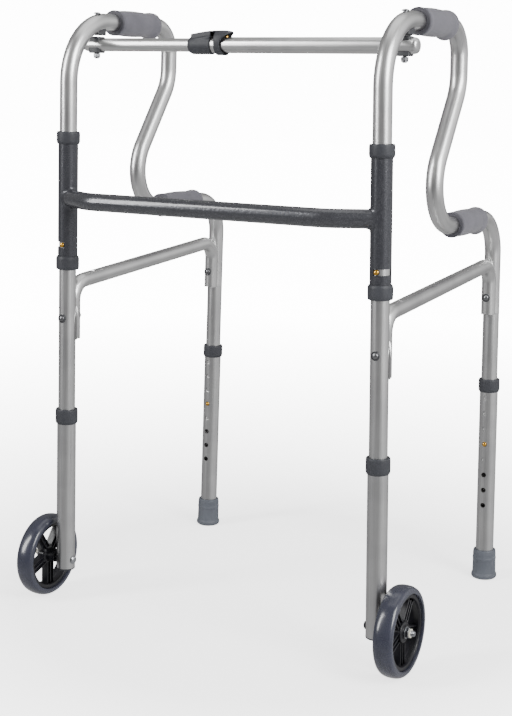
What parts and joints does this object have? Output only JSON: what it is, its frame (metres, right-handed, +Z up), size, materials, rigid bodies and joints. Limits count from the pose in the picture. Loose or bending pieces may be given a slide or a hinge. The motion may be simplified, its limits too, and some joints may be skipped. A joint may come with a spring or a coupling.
{
  "type": "walking frame",
  "caption": "Folding walking frame with two-level hand grips, front wheels, height-adjustable telescopic legs, rubber rear feet and a telescopic locking top bar.",
  "frame": {"origin": "centre of the bounding box at floor level, between the two side frames", "axes": "+Z up; +Y towards the user, the open rear side with the rubber feet; the wheels are at -Y; +X towards the side that the telescopic bar's outer tube is bolted to"},
  "size_m": [0.6412, 0.513, 0.8948],
  "materials": {
    "aluminium": "satin anodised aluminium tube",
    "hammertone": "dark grey hammertone paint with a silver fleck",
    "dark_plastic": "moulded dark grey plastic",
    "black_plastic": "moulded black plastic",
    "grip": "soft grey moulded grip, matt",
    "foot_rubber": "grey rubber",
    "tyre": "smooth blue-grey tyre, slightly glossy",
    "wheel_rim": "black moulded rim",
    "brass": "polished brass button",
    "zinc": "zinc-plated fastener"
  },
  "bodies": {
    "crossbar": {"crossbar_tube": "hammertone", "left_hinge_sleeve": "hammertone", "left_sleeve_collar_lower": "dark_plastic", "left_sleeve_collar_upper": "dark_plastic", "right_hinge_sleeve": "hammertone", "right_sleeve_collar_lower": "dark_plastic", "right_sleeve_collar_upper": "dark_plastic"},
    "left_side": {"left_side_tube": "aluminium", "left_brace_tube": "aluminium", "left_upper_grip": "grip", "left_lower_grip": "grip", "left_brace_front_bolt": "zinc", "left_brace_rear_bolt": "zinc", "left_bar_pivot_bolt": "zinc", "left_frame_saddle": "black_plastic"},
    "left_stop_button": {"left_stop_button": "brass"},
    "left_front_leg": {"left_front_lower_tube": "aluminium", "left_front_leg_collar": "dark_plastic", "left_axle_bolt": "zinc", "left_axle_nut": "zinc"},
    "left_front_leg_button": {"left_front_leg_button": "brass"},
    "left_wheel": {"left_wheel_tyre": "tyre", "left_wheel_rim": "wheel_rim"},
    "left_rear_leg": {"left_rear_lower_tube": "aluminium", "left_rear_leg_collar": "dark_plastic", "left_rear_foot": "foot_rubber"},
    "left_rear_leg_button": {"left_rear_leg_button": "brass"},
    "right_side": {"right_side_tube": "aluminium", "right_brace_tube": "aluminium", "right_upper_grip": "grip", "right_lower_grip": "grip", "right_brace_front_bolt": "zinc", "right_brace_rear_bolt": "zinc", "right_bar_pivot_bolt": "zinc", "right_frame_saddle": "black_plastic", "right_pivot_nut": "zinc", "right_pivot_washer": "black_plastic"},
    "right_stop_button": {"right_stop_button": "brass"},
    "right_front_leg": {"right_front_lower_tube": "aluminium", "right_front_leg_collar": "dark_plastic", "right_axle_bolt": "zinc", "right_axle_nut": "zinc"},
    "right_front_leg_button": {"right_front_leg_button": "brass"},
    "right_wheel": {"right_wheel_tyre": "tyre", "right_wheel_rim": "wheel_rim"},
    "right_rear_leg": {"right_rear_lower_tube": "aluminium", "right_rear_leg_collar": "dark_plastic", "right_rear_foot": "foot_rubber"},
    "right_rear_leg_button": {"right_rear_leg_button": "brass"},
    "bar_outer": {"bar_outer_tube": "aluminium", "lock_collar": "dark_plastic", "right_bar_saddle": "black_plastic", "right_bar_washer": "black_plastic"},
    "bar_guide_bush": {"bar_guide_bush": "black_plastic"},
    "bar_inner": {"bar_inner_tube": "aluminium", "left_bar_saddle": "black_plastic", "left_bar_washer": "black_plastic", "left_pivot_nut": "zinc"},
    "lock_button": {"lock_button": "brass"},
    "release_lever": {"release_lever": "dark_plastic"}
  },
  "joints": [
    {"name": "left_fold", "type": "hinge", "parent": "crossbar", "child": "left_side", "pos_m": [-0.25076, -0.193, 0.61985], "axis": [-0.022, 0, -0.9998], "range_deg": [0, 20]},
    {"name": "left_stop_button_press", "type": "slide", "parent": "left_side", "child": "left_stop_button", "axis": [0, 1, 0], "range_m": [0, 0.0042], "stiffness_N_per_m": 400},
    {"name": "left_front_leg_height", "type": "slide", "parent": "left_side", "child": "left_front_leg", "axis": [0.022, 0, 0.9998], "range_m": [-0.0254, 0.1016]},
    {"name": "left_front_leg_button_press", "type": "slide", "parent": "left_side", "child": "left_front_leg_button", "axis": [0, -1, 0], "range_m": [0, 0.0042], "stiffness_N_per_m": 400, "deforming": ["left_front_leg_button"]},
    {"name": "left_wheel_spin", "type": "hinge", "parent": "left_front_leg", "child": "left_wheel", "pos_m": [-0.29801, -0.193, 0.06364], "axis": [-0.9998, 0, 0.022], "continuous": true},
    {"name": "left_rear_leg_height", "type": "slide", "parent": "left_side", "child": "left_rear_leg", "axis": [0.022, 0, 0.9998], "range_m": [-0.0762, 0.1016]},
    {"name": "left_rear_leg_button_press", "type": "slide", "parent": "left_side", "child": "left_rear_leg_button", "axis": [0, 1, 0], "range_m": [0, 0.0042], "stiffness_N_per_m": 400, "deforming": ["left_rear_leg_button"]},
    {"name": "right_fold", "type": "hinge", "parent": "crossbar", "child": "right_side", "pos_m": [0.25076, -0.193, 0.61985], "axis": [-0.022, 0, 0.9998], "range_deg": [0, 75]},
    {"name": "right_stop_button_press", "type": "slide", "parent": "right_side", "child": "right_stop_button", "axis": [0, 1, 0], "range_m": [0, 0.0042], "stiffness_N_per_m": 400},
    {"name": "right_front_leg_height", "type": "slide", "parent": "right_side", "child": "right_front_leg", "axis": [-0.022, 0, 0.9998], "range_m": [-0.0254, 0.1016]},
    {"name": "right_front_leg_button_press", "type": "slide", "parent": "right_side", "child": "right_front_leg_button", "axis": [0, -1, 0], "range_m": [0, 0.0042], "stiffness_N_per_m": 400, "deforming": ["right_front_leg_button"]},
    {"name": "right_wheel_spin", "type": "hinge", "parent": "right_front_leg", "child": "right_wheel", "pos_m": [0.29801, -0.193, 0.06364], "axis": [0.9998, 0, 0.022], "continuous": true},
    {"name": "right_rear_leg_height", "type": "slide", "parent": "right_side", "child": "right_rear_leg", "axis": [-0.022, 0, 0.9998], "range_m": [-0.0762, 0.1016]},
    {"name": "right_rear_leg_button_press", "type": "slide", "parent": "right_side", "child": "right_rear_leg_button", "axis": [0, 1, 0], "range_m": [0, 0.0042], "stiffness_N_per_m": 400, "deforming": ["right_rear_leg_button"]},
    {"name": "bar_right_pivot", "type": "hinge", "parent": "right_side", "child": "bar_outer", "pos_m": [0.24591, -0.125, 0.8406], "axis": [-0.022, 0, 0.9998], "range_deg": [-81.74, 0]},
    {"name": "bar_bush_slide", "type": "slide", "parent": "bar_outer", "child": "bar_guide_bush", "axis": [1, 0, 0], "range_m": [0, 0.0233]},
    {"name": "bar_telescope", "type": "slide", "parent": "bar_guide_bush", "child": "bar_inner", "axis": [1, 0, 0], "range_m": [0, 0.0625]},
    {"name": "release_lever_press", "type": "hinge", "parent": "bar_outer", "child": "release_lever", "pos_m": [-0.0784, -0.125, 0.8548], "axis": [0, 1, 0], "range_deg": [0, 4.5], "stiffness_Nm_per_rad": 4},
    {"name": "lock_button_press", "type": "slide", "parent": "bar_inner", "child": "lock_button", "axis": [0, 0, -1], "range_m": [0, 0.0042], "deforming": ["lock_button"]}
  ],
  "couplings": [
    {"joint": "bar_right_pivot", "follows": "right_fold", "ratio": -1.0899},
    {"joint": "bar_bush_slide", "follows": "left_fold", "m_per_rad": 0.06675},
    {"joint": "bar_telescope", "follows": "right_fold", "m_per_rad": 0.047746},
    {"joint": "lock_button_press", "follows": "release_lever_press", "m_per_rad": 0.053476}
  ]
}
